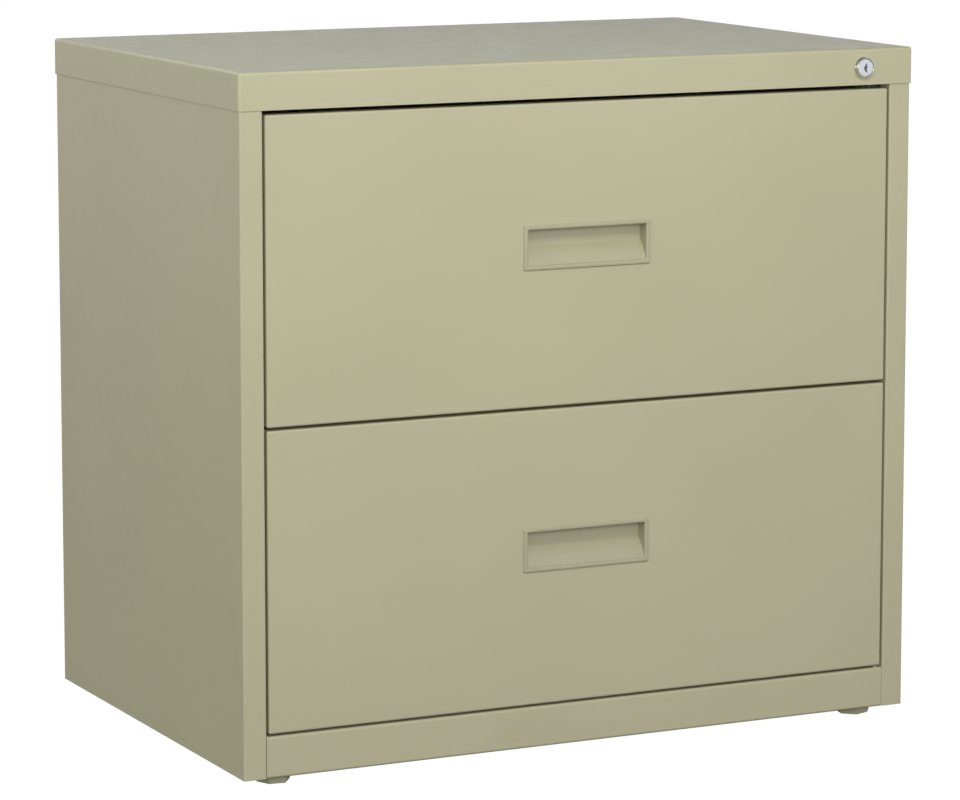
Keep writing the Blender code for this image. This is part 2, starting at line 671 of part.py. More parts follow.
def build_lock(cabinet):
    lock_housing(cabinet)
    plug_axis = carrier("lock_plug_body", (LOCK_X, Y_COVER_FRONT, Z_LOCK), cabinet)
    lock_plug(plug_axis)
    lock_cam(plug_axis)
    bar_body = carrier("lock_bar_body", (0, 0, 0), cabinet)
    lock_bar(bar_body)
    bar_guide("lock_bar_guide_upper", 600 * MM, cabinet)
    bar_guide("lock_bar_guide_lower", 120 * MM, cabinet)


# --------------------------------------------------------------- assembly
def build_case(cabinet):
    for label, side in SIDES:
        side_panel("side_panel_" + label, side, cabinet)
        upright("upright_front_" + label, side, Y_FACE + SLIDE_SETBACK, cabinet)
        upright("upright_rear_" + label, side, 182 * MM, cabinet)
        levelling_glide("glide_front_" + label, side * FOOT_X, -FOOT_Y, cabinet)
        levelling_glide("glide_rear_" + label, side * FOOT_X, FOOT_Y, cabinet)
    back_panel(cabinet)
    top_cover(cabinet)
    header_channel(cabinet)
    base_rail(cabinet)
    base_pan(cabinet)
    counterweight(cabinet)


clear_scene()
CABINET = carrier("cabinet_body", (0, 0, 0))
build_case(CABINET)
for drawer_level, drawer_bottom, front_height in DRAWERS:
    build_drawer(drawer_level, drawer_bottom, front_height, CABINET)
build_lock(CABINET)
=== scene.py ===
"""Looks of the two-drawer lateral filing cabinet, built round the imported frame.

All lengths are metres in the frame's own axes: +X right, -Y front, +Z up.  Places
come from the frame's boxes; the sizes below are those of folds and small parts.
"""

import math

import bmesh
import bpy
from mathutils import Matrix, Vector


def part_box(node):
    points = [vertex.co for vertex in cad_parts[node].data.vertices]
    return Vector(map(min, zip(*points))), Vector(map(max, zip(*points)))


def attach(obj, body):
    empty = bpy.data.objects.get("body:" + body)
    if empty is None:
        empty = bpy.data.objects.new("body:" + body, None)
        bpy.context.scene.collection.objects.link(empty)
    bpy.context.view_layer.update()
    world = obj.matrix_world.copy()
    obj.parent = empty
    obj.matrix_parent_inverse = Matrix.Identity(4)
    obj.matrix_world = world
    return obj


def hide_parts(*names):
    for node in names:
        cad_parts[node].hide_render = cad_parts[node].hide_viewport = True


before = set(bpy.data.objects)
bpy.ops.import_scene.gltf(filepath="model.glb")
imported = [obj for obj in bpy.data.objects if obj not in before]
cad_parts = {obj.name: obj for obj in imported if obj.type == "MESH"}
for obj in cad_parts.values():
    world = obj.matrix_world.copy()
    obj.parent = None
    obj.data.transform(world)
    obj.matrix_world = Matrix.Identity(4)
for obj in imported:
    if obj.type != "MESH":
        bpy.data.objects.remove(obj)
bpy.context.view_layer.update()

MM = 0.001
SHEET = 1.2 * MM
BEND = 0.8 * MM                 # inside radius of a fold
GAP = 0.3 * MM                  # between pieces that rest on each other
EDGE = 0.25 * MM                # broken edge of a cut sheet

# ------------------------------------------------------ places from the frame
COVER_LOW, COVER_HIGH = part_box("top_cover")
PANEL_LOW, PANEL_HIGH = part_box("side_panel_right")
X_SIDE = PANEL_HIGH.x
X_OPENING = PANEL_LOW.x
Y_FACE = PANEL_LOW.y
Y_BACK = PANEL_HIGH.y
Z_LOW = PANEL_LOW.z
Z_HIGH = PANEL_HIGH.z
APRON = COVER_HIGH.z - COVER_LOW.z
TRAY_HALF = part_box("upper_drawer_tray")[1].x
PLUG_LOW, PLUG_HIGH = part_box("lock_plug")
LOCK_X = (PLUG_LOW.x + PLUG_HIGH.x) / 2
LOCK_Z = (PLUG_LOW.z + PLUG_HIGH.z) / 2
LEVELS = ("upper", "lower")
SIDES = (("left", -1), ("right", 1))


# ---------------------------------------------------------------- materials
def srgb(red, green, blue):
    """Linear colour from 8-bit display values."""
    def linear(value):
        value /= 255
        return value / 12.92 if value <= 0.04045 else ((value + 0.055) / 1.055) ** 2.4
    return (linear(red), linear(green), linear(blue), 1.0)


def shaded(colour, factor):
    return tuple(channel * factor for channel in colour[:3]) + (1.0,)


class Finish:
    """A Principled material whose colour, roughness and bump come from noise."""

    def __init__(self, name, metallic=0.0):
        self.material = bpy.data.materials.new(name)
        self.material.use_nodes = True
        self.nodes = self.material.node_tree.nodes
        self.links = self.material.node_tree.links
        self.shader = self.nodes["Principled BSDF"]
        self.shader.inputs["Metallic"].default_value = metallic
        self.place = self.nodes.new("ShaderNodeTexCoord").outputs["Object"]
        self.normal = None

    def noise(self, scale, detail=2.0, stretch=(1, 1, 1)):
        mapping = self.nodes.new("ShaderNodeMapping")
        mapping.inputs["Scale"].default_value = stretch
        texture = self.nodes.new("ShaderNodeTexNoise")
        texture.inputs["Scale"].default_value = scale
        texture.inputs["Detail"].default_value = detail
        self.links.new(self.place, mapping.inputs["Vector"])
        self.links.new(mapping.outputs["Vector"], texture.inputs["Vector"])
        return texture.outputs["Fac"]

    def colour(self, fac, low, high):
        ramp = self.nodes.new("ShaderNodeValToRGB")
        ramp.color_ramp.elements[0].position = 0.3
        ramp.color_ramp.elements[0].color = low
        ramp.color_ramp.elements[1].position = 0.7
        ramp.color_ramp.elements[1].color = high
        self.links.new(fac, ramp.inputs["Fac"])
        self.links.new(ramp.outputs["Color"], self.shader.inputs["Base Color"])

    def roughness(self, fac, low, high):
        spread = self.nodes.new("ShaderNodeMapRange")
        spread.inputs["From Min"].default_value = 0.25
        spread.inputs["From Max"].default_value = 0.75
        spread.inputs["To Min"].default_value = low
        spread.inputs["To Max"].default_value = high
        self.links.new(fac, spread.inputs["Value"])
        self.links.new(spread.outputs["Result"], self.shader.inputs["Roughness"])

    def bump(self, fac, strength, depth):
        node = self.nodes.new("ShaderNodeBump")
        node.inputs["Strength"].default_value = strength
        node.inputs["Distance"].default_value = depth
        self.links.new(fac, node.inputs["Height"])
        if self.normal:
            self.links.new(self.normal, node.inputs["Normal"])
        self.normal = node.outputs["Normal"]
        self.links.new(self.normal, self.shader.inputs["Normal"])


def putty_enamel():
    """Satin baked enamel: faint cloudiness, orange peel, slightly wavy sheet."""
    finish = Finish("putty_enamel")
    base = srgb(192, 187, 156)
    finish.colour(finish.noise(5.0, 4.0), shaded(base, 0.975), shaded(base, 1.02))
    finish.roughness(finish.noise(60.0), 0.36, 0.46)
    finish.bump(finish.noise(2.6, 1.0), 0.25, 2.5 * MM)
    finish.bump(finish.noise(650.0, 2.0), 0.10, 0.15 * MM)
    return finish.material


def handle_plastic():
    """Moulded plastic in the enamel's colour, with a fine spark-eroded grain."""
    finish = Finish("handle_plastic")
    base = srgb(180, 176, 147)
    finish.colour(finish.noise(30.0, 3.0), shaded(base, 0.97), shaded(base, 1.02))
    finish.roughness(finish.noise(200.0), 0.42, 0.52)
    finish.bump(finish.noise(1800.0, 3.0), 0.12, 0.08 * MM)
    return finish.material


def zinc_steel():
    """Bright zinc on roll-formed steel, drawn along the slides' length."""
    finish = Finish("zinc_steel", metallic=0.75)
    drawn = (1.0, 0.03, 1.0)
    finish.colour(finish.noise(90.0, 4.0, drawn), srgb(168, 172, 176), srgb(206, 208, 208))
    finish.roughness(finish.noise(420.0, 3.0, drawn), 0.24, 0.42)
    finish.bump(finish.noise(900.0, 3.0, drawn), 0.10, 0.06 * MM)
    return finish.material


def cage_steel():
    """Yellow-passivated strip of the ball retainers."""
    finish = Finish("cage_steel", metallic=1.0)
    finish.colour(finish.noise(70.0, 4.0), srgb(150, 141, 112), srgb(184, 176, 146))
    finish.roughness(finish.noise(300.0), 0.30, 0.45)
    finish.bump(finish.noise(1200.0, 2.0), 0.08, 0.05 * MM)
    return finish.material


def ball_steel():
    finish = Finish("ball_steel", metallic=1.0)
    finish.colour(finish.noise(400.0), srgb(196, 198, 202), srgb(224, 226, 228))
    finish.roughness(finish.noise(500.0), 0.08, 0.16)
    return finish.material


def chrome():
    finish = Finish("chrome", metallic=1.0)
    finish.colour(finish.noise(120.0), srgb(218, 219, 222), srgb(234, 234, 236))
    finish.roughness(finish.noise(260.0, 3.0), 0.06, 0.13)
    finish.bump(finish.noise(500.0), 0.03, 0.05 * MM)
    return finish.material


def brushed_nickel():
    """Bead-blasted satin face of the lock plug."""
    finish = Finish("brushed_nickel", metallic=0.45)
    finish.colour(finish.noise(900.0, 3.0), srgb(214, 216, 224), srgb(242, 243, 247))
    finish.roughness(finish.noise(1500.0), 0.34, 0.50)
    finish.bump(finish.noise(2600.0, 3.0), 0.25, 0.05 * MM)
    return finish.material


def glide_plastic():
    """Moulded feet, a little darker and duller than the enamel."""
    finish = Finish("glide_plastic")
    base = srgb(184, 178, 148)
    finish.colour(finish.noise(60.0, 3.0), shaded(base, 0.95), shaded(base, 1.03))
    finish.roughness(finish.noise(200.0), 0.42, 0.55)
    finish.bump(finish.noise(1500.0, 3.0), 0.15, 0.08 * MM)
    return finish.material


def raw_steel():
    """Hot-rolled plate with dark mill scale."""
    finish = Finish("raw_steel", metallic=0.8)
    finish.colour(finish.noise(14.0, 8.0), srgb(62, 62, 66), srgb(104, 102, 100))
    finish.roughness(finish.noise(30.0, 6.0), 0.45, 0.70)
    finish.bump(finish.noise(160.0, 6.0), 0.30, 0.2 * MM)
    return finish.material


LOOKS = {make.__name__: make() for make in (
    putty_enamel, handle_plastic, zinc_steel, cage_steel, ball_steel, chrome,
    brushed_nickel, glide_plastic, raw_steel)}


# ------------------------------------------------------------- mesh helpers
def arc(centre, radius, start, end, steps):
    """Points on an arc, both ends included; angles in radians."""
    turns = [start + (end - start) * step / steps for step in range(steps + 1)]
    return [(centre[0] + radius * math.cos(turn), centre[1] + radius * math.sin(turn))
            for turn in turns]


def folded(path, thickness=SHEET, inside=BEND, steps=6):
    """Outline of a folded sheet that lies to the left of a path, with round bends."""
    points = [Vector(point) for point in path]
    ways = [(after - before).normalized() for before, after in zip(points, points[1:])]
    normals = [Vector((-way.y, way.x)) for way in ways]
    near = [points[0]]
    far = [points[0] + normals[0] * thickness]
    for index in range(1, len(points) - 1):
        side = 1 if ways[index - 1].angle_signed(ways[index]) < 0 else -1
        near_radius = inside + thickness if side > 0 else inside
        far_radius = inside if side > 0 else inside + thickness
        half = ways[index - 1].angle(ways[index]) / 2
        bisector = (normals[index - 1] + normals[index]).normalized()
        centre = points[index] + bisector * side * near_radius / math.cos(half)
        for step in range(steps + 1):
            blend = step / steps
            spoke = normals[index - 1] * (1 - blend) + normals[index] * blend
            spoke = spoke.normalized() * -side
            near.append(centre + spoke * near_radius)
            far.append(centre + spoke * far_radius)
    near.append(points[-1])
    far.append(points[-1] + normals[-1] * thickness)
    return [tuple(point) for point in near + far[::-1]]


def sided(points, side):
    """A path for one side, kept so that its sheet still lies to the left."""
    path = [(side * first, second) for first, second in points]
    return path[::-1] if side > 0 else path


def prism(outline, axis, start, end):
    """A closed prism: outline in the two axes across the given one, in order."""
    across = {"X": (1, 2), "Y": (0, 2), "Z": (0, 1)}[axis]
    along = "XYZ".index(axis)
    bm = bmesh.new()
    rings = []
    for place in (start, end):
        ring = []
        for first, second in outline:
            corner = [0.0, 0.0, 0.0]
            corner[across[0]] = first
            corner[across[1]] = second
            corner[along] = place
            ring.append(bm.verts.new(corner))
        rings.append(ring)
    low, high = rings
    bm.faces.new(low)
    bm.faces.new(reversed(high))
    for index in range(len(low)):
        after = (index + 1) % len(low)
        bm.faces.new((low[index], high[index], high[after], low[after]))
    return bm


def block(low, high):
    outline = ((low[0], low[1]), (high[0], low[1]), (high[0], high[1]), (low[0], high[1]))
    return prism(outline, "Z", low[2], high[2])


def rounded_rectangle(low, high, radius, steps):
    """Outline of a rectangle with round corners, from two opposite corners."""
    quarter = math.pi / 2
    centres = ((high[0] - radius, high[1] - radius), (low[0] + radius, high[1] - radius),
               (low[0] + radius, low[1] + radius), (high[0] - radius, low[1] + radius))
    outline = []
    for turn, centre in enumerate(centres):
        outline += arc(centre, radius, turn * quarter, (turn + 1) * quarter, steps)
    return outline


Z_UP = Vector((0, 1, 0)).rotation_difference(Vector((0, 0, 1))).to_matrix()


def turned(profile, sides, at=(0, 0, 0), axis="Y"):
    """A body of revolution about Y or Z, from (radius, place) points, closed through
    its bore unless the profile starts and ends on the axis."""
    bm = bmesh.new()
    rings = []
    for radius, place in profile:
        if radius == 0:
            rings.append([bm.verts.new((0, place, 0))])
        else:
            rings.append([bm.verts.new((x, place, z))
                          for x, z in arc((0, 0), radius, 0, math.tau, sides)[:-1]])
    last = len(rings) - 1 if profile[0][0] == 0 else len(rings)
    for index in range(last):
        inner = rings[index]
        outer = rings[(index + 1) % len(rings)]
        for step in range(sides):
            after = (step + 1) % sides
            corners = [inner[step % len(inner)], inner[after % len(inner)],
                       outer[after % len(outer)], outer[step % len(outer)]]
            bm.faces.new(list(dict.fromkeys(corners)))
    if axis == "Z":
        bmesh.ops.transform(bm, matrix=Z_UP, verts=bm.verts)
    bmesh.ops.translate(bm, verts=bm.verts, vec=at)
    return bm


def gather(parts):
    """Several bmeshes in one, each left a separate island."""
    whole = bmesh.new()
    for part in parts:
        copies = {vert: whole.verts.new(vert.co) for vert in part.verts}
        for face in part.faces:
            whole.faces.new([copies[vert] for vert in face.verts])
        part.free()
    return whole


def link(name, bm):
    """A new object from a bmesh, with its faces turned outwards."""
    bmesh.ops.recalc_face_normals(bm, faces=bm.faces)
    mesh = bpy.data.meshes.new(name)
    bm.to_mesh(mesh)
    bm.free()
    piece = bpy.data.objects.new(name, mesh)
    bpy.context.scene.collection.objects.link(piece)
    return piece


def settle(piece):
    """Turn the piece's modifiers into its mesh."""
    graph = bpy.context.evaluated_depsgraph_get()
    mesh = bpy.data.meshes.new_from_object(piece.evaluated_get(graph))
    piece.modifiers.clear()
    piece.data = mesh
    return piece


def boolean(piece, bm, operation="DIFFERENCE"):
    """Cut or join a shape, and settle the result."""
    operand = link("operand", bm)
    step = piece.modifiers.new("boolean", "BOOLEAN")
    step.operation = operation
    step.solver = "EXACT"
    step.object = operand
    settle(piece)
    bpy.data.objects.remove(operand)
    return piece


def pan(name, low, high, open_face, radius):
    """A sheet box with one open face and round outer edges."""
    bm = block(low, high)
    bmesh.ops.recalc_face_normals(bm, faces=bm.faces)
    lid = [face for face in bm.faces if face.normal.dot(Vector(open_face)) > 0.9]
    rim = {edge for face in lid for edge in face.edges}
    bmesh.ops.delete(bm, geom=lid, context="FACES_ONLY")
    bmesh.ops.bevel(bm, geom=[edge for edge in bm.edges if edge not in rim],
                    offset=radius, segments=6, profile=0.5, affect="EDGES")
    piece = link(name, bm)
    wall = piece.modifiers.new("wall", "SOLIDIFY")
    wall.thickness = SHEET
    wall.offset = -1
    wall.use_even_offset = True
    return settle(piece)


def soften(piece, width, segments, angle):
    """Round the edges that turn by more than the angle, in degrees."""
    bevel = piece.modifiers.new("edges", "BEVEL")
    bevel.width = width
    bevel.segments = segments
    bevel.limit_method = "ANGLE"
    bevel.angle_limit = math.radians(angle)
    bevel.use_clamp_overlap = True
    return settle(piece)


def finish(piece, look, body, nodes=(), edge=EDGE, segments=2, angle=35):
    """Break the sharp edges, shade, paint, and tie the piece to its body."""
    if edge:
        soften(piece, edge, segments, angle)
    piece.data.shade_smooth()
    piece.data.set_sharp_from_angle(angle=math.radians(angle + 15))
    weighted = piece.modifiers.new("normals", "WEIGHTED_NORMAL")
    weighted.keep_sharp = True
    settle(piece)
    piece.data.materials.clear()
    piece.data.materials.append(LOOKS[look])
    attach(piece, body)
    if nodes:
        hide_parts(*nodes)
    return piece


# ------------------------------------------------------------ cabinet case
def side_panels():
    """Outer wall, rear flange and box-folded stile, from one sheet."""
    stile_depth = 20 * MM
    stile_hem = 8 * MM
    rear_flange = 15 * MM
    y_hem = Y_FACE + stile_depth
    for label, side in SIDES:
        path = sided([
            (X_SIDE - rear_flange, Y_BACK), (X_SIDE, Y_BACK), (X_SIDE, Y_FACE),
            (X_OPENING, Y_FACE), (X_OPENING, y_hem), (X_OPENING + stile_hem, y_hem)], side)
        piece = link("case_side_" + label, prism(folded(path), "Z", Z_LOW, Z_HIGH))
        finish(piece, "putty_enamel", "cabinet", ["side_panel_" + label])


def top_cover():
    """Sheet cover, round on all outer edges, with the lock's hole in its apron."""
    piece = pan("case_top", COVER_LOW, COVER_HIGH, (0, 0, -1), 3 * MM)
    hole_radius = 9.3 * MM
    hole = turned([(0, -5 * MM), (hole_radius, -5 * MM), (hole_radius, 8 * MM), (0, 8 * MM)], 48,
                  (LOCK_X, COVER_LOW.y, LOCK_Z))
    boolean(piece, hole)
    finish(piece, "putty_enamel", "cabinet", ["top_cover"])


def base_rail():
    """Channel under the lower drawer, with a bumper at the right end of its top."""
    low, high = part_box("base_rail")
    path = [(high.y, high.z), (low.y, high.z), (low.y, low.z), (high.y, low.z)]
    outline = folded(path, SHEET, 1.6 * MM)
    piece = link("case_base_rail", prism(outline, "X", low.x, high.x))
    finish(piece, "putty_enamel", "cabinet", ["base_rail"])
    bumper = [(high.x - 9 * MM, high.z - GAP), (high.x - 4 * MM, high.z - GAP),
              (high.x - 4.6 * MM, high.z + 1.6 * MM), (high.x - 8.4 * MM, high.z + 1.6 * MM)]
    bumper = link("case_bumper", prism(bumper, "Y", low.y + 2 * MM, high.y - 3 * MM))
    finish(bumper, "handle_plastic", "cabinet", edge=0.5 * MM, segments=3)


def back_panel():
    """Rear sheet, folded forwards at its sides, with two ribs pressed in from behind."""
    low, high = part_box("back_panel")
    path = [(high.x, low.y), (high.x, high.y), (low.x, high.y), (low.x, low.y)]
    piece = link("case_back", prism(folded(path), "Z", low.z, high.z))
    rib_half = 9 * MM
    rib_depth = 3 * MM
    foot_half = rib_half + rib_depth
    reach = high.x - 45 * MM
    for share in (0.34, 0.66):
        z = low.z + (high.z - low.z) * share
        outer = [(high.y + SHEET, z - foot_half), (high.y + SHEET, z + foot_half),
                 (high.y - rib_depth, z + rib_half), (high.y - rib_depth, z - rib_half)]
        inner = [(high.y - SHEET / 2, z - foot_half - SHEET),
                 (high.y - SHEET / 2, z + foot_half + SHEET),
                 (high.y - rib_depth - SHEET, z + rib_half + SHEET / 2),
                 (high.y - rib_depth - SHEET, z - rib_half - SHEET / 2)]
        boolean(piece, prism(inner, "X", -reach - SHEET, reach + SHEET), "UNION")
        boolean(piece, prism(outer, "X", -reach, reach))
    finish(piece, "putty_enamel", "cabinet", ["back_panel"])


def uprights():
    """Hat channels with paired slots at one-inch pitch for the slides' hooks."""
    wing = 8 * MM
    face = 30 * MM
    pitch = 25.4 * MM
    slot_height = 13 * MM
    slot_half = 1.6 * MM
    slot_spread = 7 * MM
    x_wing = X_SIDE - 2 * SHEET - GAP
    x_slide = X_OPENING + GAP
    for row in ("front", "rear"):
        for label, side in SIDES:
            node = "upright_" + row + "_" + label
            low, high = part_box(node)
            y = low.y
            path = sided([(x_wing, y), (x_wing, y + wing), (x_slide, y + wing),
                          (x_slide, y + wing + face), (x_wing, y + wing + face),
                          (x_wing, y + 2 * wing + face)], side)
            piece = link("case_" + node, prism(folded(path), "Z", low.z, high.z))
            slots = []
            middle = y + wing + face / 2
            for step in range(int((high.z - low.z) / pitch) - 1):
                z = low.z + pitch * (step + 0.8)
                for y_slot in (middle - slot_spread, middle + slot_spread):
                    outline = rounded_rectangle((y_slot - slot_half, z),
                                                (y_slot + slot_half, z + slot_height),
                                                1.5 * MM, 3)
                    ends = sorted((side * (x_slide - 2 * MM), side * (x_slide + 4 * MM)))
                    slots.append(prism(outline, "X", ends[0], ends[1]))
            boolean(piece, gather(slots))
            finish(piece, "putty_enamel", "cabinet", [node], edge=0)


def glides():
    """Tapered hexagonal feet, each turned by its own angle, with stem and nut."""
    turns = {"front_left": 24, "front_right": 48, "rear_left": 8, "rear_right": 37}
    height = 9 * MM
    pitch = 1.25 * MM
    nut_radius = 7.5 * MM
    nut_middle = 29 * MM
    bore_radius = 4.2 * MM
    for place, turn in turns.items():
        node = "glide_" + place
        low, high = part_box(node)
        centre = (low + high) / 2
        spin = Matrix.Rotation(math.radians(turn), 3, "Z")
        foot = bmesh.new()
        bmesh.ops.create_cone(foot, cap_ends=True, segments=6, radius1=17.5 * MM,
                              radius2=20 * MM, depth=height)
        bmesh.ops.transform(foot, matrix=spin, verts=foot.verts)
        bmesh.ops.translate(foot, verts=foot.verts, vec=(centre.x, centre.y, height / 2))
        finish(link("foot_" + place, foot), "glide_plastic", "cabinet", [node], edge=1.1 * MM,
               segments=4, angle=20)
        thread = [(0, height - GAP), (3.6 * MM, height - GAP)]
        for step in range(int((high.z - height) / pitch)):
            z = height + step * pitch
            thread += [(3.4 * MM, z), (4.0 * MM, z + pitch / 2)]
        thread += [(3.2 * MM, high.z), (0, high.z)]
        stem = turned(thread, 20, (centre.x, centre.y, 0), "Z")
        finish(link("stem_" + place, stem), "zinc_steel", "cabinet", edge=0)
        nut = bmesh.new()
        bmesh.ops.create_cone(nut, cap_ends=True, segments=6, radius1=nut_radius,
                              radius2=nut_radius, depth=6 * MM)
        bmesh.ops.translate(nut, verts=nut.verts, vec=(centre.x, centre.y, nut_middle))
        bore = turned([(0, 20 * MM), (bore_radius, 20 * MM), (bore_radius, 40 * MM),
                       (0, 40 * MM)], 20, (centre.x, centre.y, 0), "Z")
        nut = boolean(link("nut_" + place, nut), bore)
        finish(nut, "zinc_steel", "cabinet", edge=0.5 * MM)


# ---------------------------------------------------------------- drawers
def drawer_front(level):
    """Sheet front with round edges and an opening behind the pull's frame."""
    node = level + "_drawer_front"
    low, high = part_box(node)
    pull_low, pull_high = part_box(level + "_handle")
    overlap = 2 * MM
    overlap_top = 0.8 * MM
    piece = pan("face_" + level, low, high, (0, 1, 0), 2.2 * MM)
    hole = rounded_rectangle((pull_low.x + overlap, pull_low.z + overlap),
                             (pull_high.x - overlap, pull_high.z - overlap_top), 1.5 * MM, 3)
    boolean(piece, prism(hole, "Y", low.y - 5 * MM, low.y + 8 * MM))
    finish(piece, "putty_enamel", level + "_drawer", [node])


def bead_ring(half, inner, radius, low, high, roll):
    """A rectangular frame whose two front edges are rolled into one round bead."""
    loops = (rounded_rectangle((-half[0], -half[1]), half, radius, 4),
             rounded_rectangle((-inner[0], -inner[1]), inner, radius / 2, 4))
    bm = bmesh.new()
    rings = [[bm.verts.new((x, y, z)) for x, z in loop]
             for loop, y in ((loops[0], high), (loops[0], low), (loops[1], low), (loops[1], high))]
    for first, second in zip(rings, rings[1:] + rings[:1]):
        for index in range(len(first)):
            after = (index + 1) % len(first)
            bm.faces.new((first[index], first[after], second[after], second[index]))
    front = [edge for edge in bm.edges
             if any(set(edge.verts) <= set(ring) for ring in rings[1:3])]
    bmesh.ops.bevel(bm, geom=front, offset=roll, segments=7, profile=0.5, affect="EDGES")
    return bm


def drawer_pull(level):
    """Round bead frame about a cup: a ramp curves in to a crease, a wall rises from it."""
    node = level + "_handle"
    low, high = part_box(node)
    centre = (low.z + high.z) / 2
    half = ((high.x - low.x) / 2, (high.z - low.z) / 2)
    bead = 5 * MM
    corner = 2 * MM
    roll = 1.85 * MM
    inner = (half[0] - bead, half[1] - bead)
    ring = bead_ring(half, inner, corner, low.y, Y_FACE - 0.05 * MM, roll)
    bmesh.ops.translate(ring, verts=ring.verts, vec=(0, 0, centre))

    def section(points):
        return [(Y_FACE + y * MM, centre + z * MM) for y, z in points]

    # in millimetres, behind the face and above the pull's middle
    deep = 14.0
    wall = 1.4
    crease = 1.5
    start = 0.6
    lip = inner[1] / MM + 0.05
    under = -20.6
    roof = 21.8
    roof_inside = 20.4
    bend = 1.7
    steps = 12
    ramp = []
    for step in range(steps + 1):
        share = step / steps
        ramp.append((start + (deep - wall - start) * share ** bend,
                     -lip + (lip + crease) * share))
    shell = section([(-0.6, under), (3, under), (deep, 1), (deep, roof), (-0.6, roof)])
    cup = link("cup", prism(shell, "X", bead / 2 - half[0], half[0] - bead / 2))
    mouth = section([(-4, -lip)] + ramp +
                    [(deep - wall, roof_inside), (1, roof_inside), (1, lip), (-4, lip)])
    reach = inner[0] + 0.05 * MM
    boolean(cup, prism(mouth, "X", -reach, reach))
    soften(cup, 0.45 * MM, 3, 40)
    scooped = bmesh.new()
    scooped.from_mesh(cup.data)
    bpy.data.objects.remove(cup)
    piece = link("pull_" + level, gather([ring, scooped]))
    finish(piece, "handle_plastic", level + "_drawer", [node], edge=0, angle=40)


def drawer_tray(level):
    """Sides and floor from one sheet, slotted for dividers."""
    node = level + "_drawer_tray"
    low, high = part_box(node)
    flange = 12 * MM
    slot_half = 9 * MM
    slot_pitch = 50 * MM
    slot_rows = (-0.13, 0.0, 0.13)
    path = [(low.x + flange, high.z), (low.x, high.z), (low.x, low.z),
            (high.x, low.z), (high.x, high.z), (high.x - flange, high.z)]
    piece = link("tray_" + level, prism(folded(path), "Y", low.y, high.y))
    slots = []
    for y in slot_rows:
        for step in range(-6, 7):
            x = step * slot_pitch
            outline = rounded_rectangle((x - slot_half, y - 1.5 * MM),
                                        (x + slot_half, y + 1.5 * MM), 1.4 * MM, 3)
            slots.append(prism(outline, "Z", low.z - 2 * MM, low.z + 4 * MM))
    boolean(piece, gather(slots))
    finish(piece, "putty_enamel", level + "_drawer", [node])


def drawer_back(level):
    """Channel across the tray's rear end."""
    node = level + "_drawer_back"
    low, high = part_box(node)
    path = [(low.y, low.z), (high.y, low.z), (high.y, high.z), (low.y, high.z)]
    piece = link("rear_wall_" + level, prism(folded(path), "X", low.x, high.x))
    finish(piece, "putty_enamel", level + "_drawer", [node])


def hang_rails(level):
    """Angle rails that carry the folders' hooks."""
    for row, ahead in (("front", -1), ("rear", 1)):
        node = level + "_hang_rail_" + row
        low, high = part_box(node)
        stem = high.y if ahead < 0 else low.y
        toe = low.y if ahead < 0 else high.y
        path = [(toe, low.z), (stem, low.z), (stem, high.z)]
        if ahead > 0:
            path = path[::-1]
        piece = link("rail_" + row + "_" + level,
                     prism(folded(path, 1.5 * MM), "X", low.x, high.x))
        finish(piece, "zinc_steel", level + "_drawer", [node], edge=0.5 * MM, segments=3)


# ----------------------------------------------------------------- slides
def slide_outline(path, side, thickness=SHEET, inside=BEND):
    """Section of a slide member: x counts in mm from the upright to the drawer."""
    outline = folded([(x * MM, z * MM) for x, z in path], thickness, inside, 5)
    return [(side * (X_OPENING - x), z) for x, z in outline]


def raised(outline, z):
    return [(first, second + z) for first, second in outline]


def slide_holes(x_web, side, y_low, y_high, z, count):
    """Round holes and slots by turns along a slide's web, as one cutter."""
    radius = 2.2 * MM
    slot_reach = 5 * MM
    ends = sorted((side * (X_OPENING - (x_web - 2) * MM), side * (X_OPENING - (x_web + 3) * MM)))
    cutters = []
    for step in range(count):
        y = y_low + (y_high - y_low) * (step + 0.5) / count
        reach = radius + (slot_reach if step % 2 else 0.01 * MM)
        outline = rounded_rectangle((y - reach, z - radius), (y + reach, z + radius),
                                    radius - 0.01 * MM, 4)
        cutters.append(prism(outline, "X", ends[0], ends[1]))
    return gather(cutters)


def slide_members(level, label, side):
    """The three channels of one slide, each on the body that carries it."""
    stem = level + "_slide_" + label
    sections = {
        "outer": ([(10, 20.4), (10, 22.8), (0, 22.8), (0, -22.8), (10, -22.8), (10, -20.4)], 0,
                  "cabinet"),
        "middle": ([(9.6, 17.4), (2.6, 17.4), (2.6, -17.4), (9.6, -17.4)], 2.6, stem + "_middle"),
        "inner": ([(5.3, -12), (12.7, -12), (12.7, 12), (5.3, 12)], 11.5, level + "_drawer"),
    }
    for part, (path, x_web, body) in sections.items():
        node = stem + "_" + part
        low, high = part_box(node)
        z = (low.z + high.z) / 2
        outline = raised(slide_outline(path, side), z)
        piece = link("runner_" + node, prism(outline, "Y", low.y, high.y))
        boolean(piece, slide_holes(x_web, side, low.y, high.y, z, 9))
        finish(piece, "zinc_steel", body, [node], edge=0)


